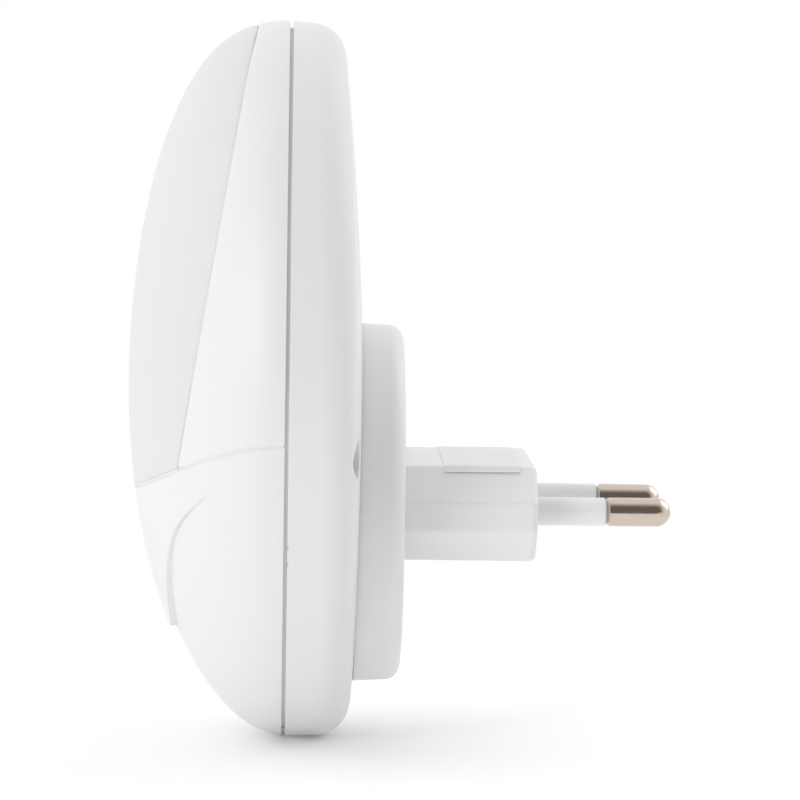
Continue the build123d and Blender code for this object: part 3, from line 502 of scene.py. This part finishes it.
def plastic(name, colour, roughness, grain=0.12, depth=0.0015, tone=0.012, edge=0.15, inner=0.0, reach=1.0,
            through=0.0, crisp_groove=False):
    """Moulded plastic: even colour with a faint drift, patchy gloss and a fine spark-eroded grain."""
    material, tree, shader, place = new_material(name)
    shader.inputs["Subsurface Weight"].default_value = inner
    shader.inputs["Subsurface Radius"].default_value = (1.0, 1.0, 1.0)
    shader.inputs["Subsurface Scale"].default_value = reach * MM
    shader.inputs["Transmission Weight"].default_value = through
    vary_colour(tree, shader, noise(tree, place, TONE_DRIFT, TONE_DETAIL), colour, tone)
    vary_roughness(tree, shader, noise(tree, place, GLOSS_PATCH, GLOSS_DETAIL), roughness, GLOSS_SPREAD)
    radius = crisp_at_groove(tree, place, edge) if crisp_groove else None
    add_relief(tree, shader, noise(tree, place, grain, GRAIN_DETAIL), depth, edge, radius)
    return material


def metal(name, colour, roughness, brushing=(1, 1, 1), size=0.15, depth=0.002, tone=0.05, edge=0.05):
    """Bare or plated metal with fine marks along the way it was drawn, turned or brushed."""
    material, tree, shader, place = new_material(name)
    shader.inputs["Metallic"].default_value = 1.0
    marks = noise(tree, place, size, METAL_DETAIL, brushing)
    vary_colour(tree, shader, noise(tree, place, METAL_DRIFT, METAL_DETAIL), colour, tone)
    vary_roughness(tree, shader, marks, roughness, roughness * METAL_GLOSS_SHARE)
    add_relief(tree, shader, marks, depth, edge)
    return material


def board_green():
    """Solder mask over copper tracks that shine through as paler lines."""
    material, tree, shader, place = new_material("board_green")
    tracks = tree.nodes.new("ShaderNodeTexBrick")
    tracks.inputs["Color1"].default_value = MASK_GREEN
    tracks.inputs["Color2"].default_value = MASK_GREEN_PALER
    tracks.inputs["Mortar"].default_value = TRACK_GREEN
    tracks.inputs["Scale"].default_value = 1 / (TRACK_SPACING * MM)
    tracks.inputs["Mortar Size"].default_value = TRACK_WIDTH
    turned = tree.nodes.new("ShaderNodeMapping")
    turned.inputs["Rotation"].default_value = (math.pi / 2, 0, 0)
    tree.links.new(place, turned.inputs["Vector"])
    tree.links.new(turned.outputs["Vector"], tracks.inputs["Vector"])
    tree.links.new(tracks.outputs["Color"], shader.inputs["Base Color"])
    patches = noise(tree, place, BOARD_GLOSS_PATCH, TONE_DETAIL)
    vary_roughness(tree, shader, patches, BOARD_ROUGHNESS, BOARD_GLOSS_SPREAD)
    add_relief(tree, shader, tracks.outputs["Fac"], TRACK_HEIGHT, BOARD_EDGE)
    return material


def label_silver():
    """Silver film with a matt lacquer and faint waves where it lies on the moulding."""
    material, tree, shader, place = new_material("label_silver")
    shader.inputs["Metallic"].default_value = FILM_METALLIC
    drift = noise(tree, place, FILM_TONE_DRIFT, TONE_DETAIL, FILM_TONE_STRETCH)
    vary_colour(tree, shader, drift, FILM_COLOUR, FILM_TONE)
    patches = noise(tree, place, FILM_GLOSS_PATCH, FILM_GLOSS_DETAIL)
    vary_roughness(tree, shader, patches, FILM_ROUGHNESS, FILM_GLOSS_SPREAD)
    waves = noise(tree, place, FILM_WAVE, GRAIN_DETAIL, FILM_WAVE_STRETCH)
    add_relief(tree, shader, waves, FILM_WAVE_DEPTH, 0.0)
    return material


def make_finishes():
    """Every finish by its name."""
    finishes = {name: plastic(name, **values) for name, values in PLASTICS.items()}
    finishes.update({name: metal(name, **values) for name, values in METALS.items()})
    finishes["board_green"] = board_green()
    finishes["label_silver"] = label_silver()
    return finishes


def dress(name, material):
    """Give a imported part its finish."""
    mesh = nodes[name].data
    if not mesh.materials:
        mesh.materials.append(material)
    for i in range(len(mesh.materials)):
        mesh.materials[i] = material


# ------------------------------------------------------------------ mesh helpers
def new_piece(name, form, material):
    """Object from a bmesh, smooth except over sharp edges."""
    mesh = bpy.data.meshes.new(name)
    bmesh.ops.recalc_face_normals(form, faces=form.faces)
    form.to_mesh(mesh)
    form.free()
    mesh.materials.append(material)
    piece = bpy.data.objects.new(name, mesh)
    bpy.context.scene.collection.objects.link(piece)
    for face in mesh.polygons:
        face.use_smooth = True
    mesh.set_sharp_from_angle(angle=math.radians(SMOOTH_DEGREES))
    return piece


def join_rings(form, one, two):
    """Faces between two closed rings of corners; a ring may be a single point."""
    for k in range(max(len(one), len(two))):
        corners = [one[k % len(one)], one[(k + 1) % len(one)], two[(k + 1) % len(two)], two[k % len(two)]]
        form.faces.new(list(dict.fromkeys(corners)))


def cut_away(piece, cutter):
    """Subtract one object from another for good."""
    modifier = piece.modifiers.new("cut", "BOOLEAN")
    modifier.operation = "DIFFERENCE"
    modifier.solver = "EXACT"
    modifier.use_self = True
    modifier.object = cutter
    bpy.context.view_layer.update()
    whole = piece.evaluated_get(bpy.context.evaluated_depsgraph_get())
    piece.data = bpy.data.meshes.new_from_object(whole)
    piece.modifiers.clear()
    bpy.data.objects.remove(cutter)


# ------------------------------------------------------------------ lines of the head
def shell_surface():
    """Surface of the head's outer mouldings, for finding where a line runs on it."""
    corners, faces = [], []
    for name in ("front_frame", "lower_cover", "diffuser", "back_shell"):
        mesh = nodes[name].data
        start = len(corners)
        corners += [vertex.co.copy() for vertex in mesh.vertices]
        faces += [[start + i for i in face.vertices] for face in mesh.polygons]
    return BVHTree.FromPolygons(corners, faces)


def beside_line(surface, start, outwards, step):
    """Middle point and outward normal of the surface beside a line, from two rays aimed inwards."""
    hits = [surface.ray_cast(start + side * step, -outwards)[:2] for side in (-1, 1)]
    normals = [normal if normal.dot(outwards) > 0 else -normal for _, normal in hits]
    return (hits[0][0] + hits[1][0]) / 2, (normals[0] + normals[1]).normalized()


def seam_height(x):
    """Height of the smile seam at a distance from the middle, in metres."""
    return (SEAM_LOW_Z + SEAM_RADIUS) * MM - math.sqrt((SEAM_RADIUS * MM) ** 2 - x * x)


def seam_points(surface, parting_y):
    """Place, normal and depth along the seam over the head's front, from one side to the other."""
    points = []
    for i in range(-SEAM_HALF_STEPS, SEAM_HALF_STEPS + 1):
        angle = math.radians(SEAM_REACH_DEGREES * i / SEAM_HALF_STEPS)
        outwards = Vector((math.sin(angle), -math.cos(angle), 0))
        height = seam_height(0)
        for _ in range(SETTLING_ROUNDS):
            start = outwards * RAY_START + Vector((0, parting_y, height))
            middle, normal = beside_line(surface, start, outwards, Vector((0, 0, BESIDE_LINE * MM)))
            height = seam_height(middle.x)
        points.append((middle, normal, SEAM_LINE_DEPTH))
    return points


def rim_points(surface, top_y, top_z, side):
    """Place, normal and depth along one side of the window's rim, from the seam nearly to the top."""
    points = []
    for i in range(RIM_STEPS + 1):
        share = i / RIM_STEPS
        angle = math.radians(RIM_FROM_DEGREES + (RIM_TO_DEGREES - RIM_FROM_DEGREES) * i / RIM_STEPS)
        outwards = Vector((side * math.cos(angle), 0, math.sin(angle)))
        y = top_y
        for _ in range(SETTLING_ROUNDS):
            start = outwards * RAY_START + Vector((0, y, HEAD_MIDDLE_Z * MM))
            middle, normal = beside_line(surface, start, outwards, Vector((0, BESIDE_LINE * MM, 0)))
            y = top_y + RIM_SLOPE * (middle.z - top_z)
        if middle.z > seam_height(middle.x):
            towards_top = max(0.0, (share - RIM_DEEPENS_FROM) / (1 - RIM_DEEPENS_FROM))
            points.append((middle, normal, RIM_LINE_DEPTH + RIM_TOP_DEPTH * towards_top ** 3))
    return points


def add_ribbon(name, points, material):
    """Flat ribbon under the surface along a line, so that the line is only as deep as it looks."""
    form = bmesh.new()
    rings = []
    for i, (place, normal, depth) in enumerate(points):
        along = points[min(i + 1, len(points) - 1)][0] - points[max(i - 1, 0)][0]
        across = along.cross(normal).normalized() * RIBBON_WIDTH / 2 * MM
        top = place - normal * depth * MM
        bottom = place - normal * (depth + RIBBON_THICKNESS) * MM
        rings.append([form.verts.new(corner)
                      for corner in (top - across, top + across, bottom + across, bottom - across)])
    for one, two in zip(rings, rings[1:]):
        join_rings(form, one, two)
    form.faces.new(rings[0])
    form.faces.new(rings[-1])
    ribbon = new_piece(name, form, material)
    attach(ribbon, "lamp_head")


def band_depth(angle):
    """Depth of the groove's band, which leaves the groove open at the head's top and bottom."""
    from_end = math.degrees(abs(math.asin(abs(math.sin(angle))) - math.pi / 2))
    open_share = max(0.0, 1 - from_end / BAND_OPEN_DEGREES)
    return BAND_DEPTH + (GROOVE_DEPTH - BAND_ABOVE_BED - BAND_DEPTH) * min(1.0, 2 * open_share)


def add_groove_band(surface, groove_y, material):
    """Band that lies in the parting groove all round, in a darker grey that is painted shade of the groove.
    """
    front, back = -(GROOVE_WIDTH / 2 - BAND_CLEARANCE) * MM, (GROOVE_WIDTH / 2 + NOTCH_REACH) * MM
    form = bmesh.new()
    rings = []
    for i in range(BAND_STEPS):
        angle = 2 * math.pi * i / BAND_STEPS
        outwards = Vector((math.cos(angle), 0, math.sin(angle)))
        start = outwards * RAY_START + Vector((0, groove_y, HEAD_MIDDLE_Z * MM))
        edge, _ = beside_line(surface, start, outwards, Vector((0, BESIDE_GROOVE * MM, 0)))
        outer = edge - outwards * band_depth(angle) * MM
        inner = edge - outwards * (GROOVE_DEPTH + BAND_IN_BED) * MM
        rings.append([form.verts.new((place.x, groove_y + y, place.z))
                      for place, y in ((inner, front), (outer, front), (outer, back), (inner, back))])
    for i in range(BAND_STEPS):
        join_rings(form, rings[i], rings[(i + 1) % BAND_STEPS])
    band = new_piece("groove_band", form, material)
    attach(band, "lamp_head")


def add_lines(finishes):
    """What lies in the seam, behind the window's rim and in the parting groove."""
    surface = shell_surface()
    groove_y = GROOVE_FRONT_Y + GROOVE_WIDTH / 2 * MM
    rim_y = groove_y - RIM_DEPTH * MM
    rim_z = cad_high.z - RIM_DROP * MM
    ribbon_white = finishes["ribbon_white"]
    add_ribbon("seam_ribbon", seam_points(surface, groove_y), ribbon_white)
    for name, side in (("rim_ribbon_right", 1), ("rim_ribbon_left", -1)):
        add_ribbon(name, rim_points(surface, rim_y, rim_z, side), ribbon_white)
    add_groove_band(surface, groove_y, finishes["groove_band_painted_shade"])


# ------------------------------------------------------------------ label
def label_line(start, end):
    """Points (x, z) across the label: the block's top, its rounded corner and part of its chamfer."""
    corner = BLOCK_HALF_WIDTH - BLOCK_CHAMFER
    back = BLOCK_EDGE_RADIUS * math.tan(math.radians(BLOCK_CHAMFER_DEGREES / 2))
    flat = corner - back
    points = [(start + (flat - start) * i / LABEL_FLAT_STEPS, BLOCK_HALF_HEIGHT)
              for i in range(LABEL_FLAT_STEPS + 1)]
    for i in range(1, LABEL_BEND_STEPS + 1):
        turn = math.radians(BLOCK_CHAMFER_DEGREES * i / LABEL_BEND_STEPS)
        z = BLOCK_HALF_HEIGHT - BLOCK_EDGE_RADIUS + BLOCK_EDGE_RADIUS * math.cos(turn)
        points.append((flat + BLOCK_EDGE_RADIUS * math.sin(turn), z))
    x, z = points[-1]
    run = max(0.0, end - x)
    points += [(x + run * i / LABEL_BEND_STEPS, z - run * i / LABEL_BEND_STEPS)
               for i in range(1, LABEL_BEND_STEPS + 1)]
    return points


def label_point(line, i, share, layer):
    """Point (x, z) of one face of the label, which has come up a little along its lower edge."""
    before, after = line[max(i - 1, 0)], line[min(i + 1, len(line) - 1)]
    along = Vector((after[0] - before[0], 0, after[1] - before[1])).normalized()
    out = Vector((-along.z, 0, along.x))
    near_end = max(0.0, (i - (len(line) - 1 - LABEL_LOOSE_STEPS)) / LABEL_LOOSE_STEPS)
    lift_share = LABEL_LIFT_NEAR_SHARE + (1 - LABEL_LIFT_NEAR_SHARE) * share ** 3
    stand = LABEL_GLUE + LABEL_LIFT * near_end ** 2 * lift_share + layer * LABEL_THICKNESS
    point = Vector((line[i][0], 0, line[i][1])) + out * stand
    return point.x, point.z


def sheet_faces(last_i, last_j):
    """Corners (layer, i, j) of every face of a closed thin sheet."""
    for layer in (0, 1):
        for i in range(last_i):
            for j in range(last_j):
                yield (layer, i, j), (layer, i + 1, j), (layer, i + 1, j + 1), (layer, i, j + 1)
    for i in range(last_i):
        for j in (0, last_j):
            yield (0, i, j), (0, i + 1, j), (1, i + 1, j), (1, i, j)
    for j in range(last_j):
        for i in (0, last_i):
            yield (0, i, j), (0, i, j + 1), (1, i, j + 1), (1, i, j)


def add_label(material):
    """Blank silver label over the block's top and part of its chamfer."""
    low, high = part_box("rating_label")
    line = label_line(low.x / MM, high.x / MM)
    form = bmesh.new()
    sheet = {}
    for layer in (0, 1):
        for i in range(len(line)):
            for j in range(LABEL_ROWS + 1):
                share = j / LABEL_ROWS
                x, z = label_point(line, i, share, layer)
                sheet[layer, i, j] = form.verts.new((x * MM, low.y + (high.y - low.y) * share, z * MM))
    for corners in sheet_faces(len(line) - 1, LABEL_ROWS):
        form.faces.new([sheet[corner] for corner in corners])
    label = new_piece("label_sheet", form, material)
    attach(label, "plug")
    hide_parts("rating_label")


# ------------------------------------------------------------------ housing screws
def turned_form(outline, x, z):
    """Round body about an axis along Y; the outline gives (radius, y) from one end to the other."""
    form = bmesh.new()
    rings = []
    for radius, y in outline:
        steps = ROUND_STEPS if radius else 1
        ring = []
        for k in range(steps):
            angle = 2 * math.pi * k / steps
            ring.append(form.verts.new((x + radius * math.cos(angle), y, z + radius * math.sin(angle))))
        rings.append(ring)
    for one, two in zip(rings, rings[1:]):
        join_rings(form, one, two)
    return form


def cross_cutter(x, y, z):
    """Tapered cross that the driver fits, cut from the outer face of a head at y."""
    form = bmesh.new()
    floor_reach = CROSS_REACH * CROSS_FLOOR_REACH_SHARE
    floor_width = CROSS_WIDTH * CROSS_FLOOR_WIDTH_SHARE
    levels = ((y + CROSS_ABOVE * MM, CROSS_REACH, CROSS_WIDTH),
              (y - CROSS_DEPTH * MM, floor_reach, floor_width))
    for turn in (0.0, math.pi / 2):
        rings = []
        for level, reach, width in levels:
            ring = []
            for a, b in ((-reach, -width / 2), (reach, -width / 2), (reach, width / 2), (-reach, width / 2)):
                across = a * math.cos(turn) - b * math.sin(turn)
                up = a * math.sin(turn) + b * math.cos(turn)
                ring.append(form.verts.new((x + across * MM, level, z + up * MM)))
            form.faces.new(ring)
            rings.append(ring)
        join_rings(form, *rings)
    return form


def screw_outline(head_back, tip):
    """Outline (radius, y) of a screw with a crowned head, from its outer face to its tip."""
    seat = head_back - SCREW_HEAD_HEIGHT * MM
    shank = SCREW_SHANK_RADIUS * MM
    outline = [(0, head_back)]
    for i in range(1, CROWN_STEPS + 1):
        turn = i / CROWN_STEPS * math.pi / 2
        drop = SCREW_HEAD_CROWN * (1 - math.cos(turn)) * MM
        outline.append((SCREW_HEAD_RADIUS * math.sin(turn) * MM, head_back - drop))
    outline += [(SCREW_HEAD_RADIUS * MM, seat), (shank, seat), (shank, tip + SCREW_TIP * MM)]
    return outline + [(shank * SCREW_TIP_SHARE, tip), (0, tip)]


def add_housing_screws(material):
    """Two cross-head screws at the bottom of the wells, in place of the plain ones."""
    low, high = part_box("housing_screws")
    side = high.x - SCREW_HEAD_RADIUS * MM
    height = (low.z + high.z) / 2
    outline = screw_outline(high.y, low.y)
    for name, x in (("screw_right", side), ("screw_left", -side)):
        piece = new_piece(name, turned_form(outline, x, height), material)
        cut_away(piece, new_piece(name + "_cutter", cross_cutter(x, high.y, height), material))
        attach(piece, "lamp_head")
        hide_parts("housing_screws")


# ------------------------------------------------------------------ the scene
add_camera()
add_world()
add_floor(cad_low.z)
for softbox in SOFTBOXES:
    add_softbox(*softbox)
finishes = make_finishes()
for finish, names in DRESSED.items():
    for name in names:
        dress(name, finishes[finish])
add_lines(finishes)
add_label(finishes["label_silver"])
add_housing_screws(finishes["screw_steel"])

bpy.context.scene.view_settings.view_transform = "Standard"
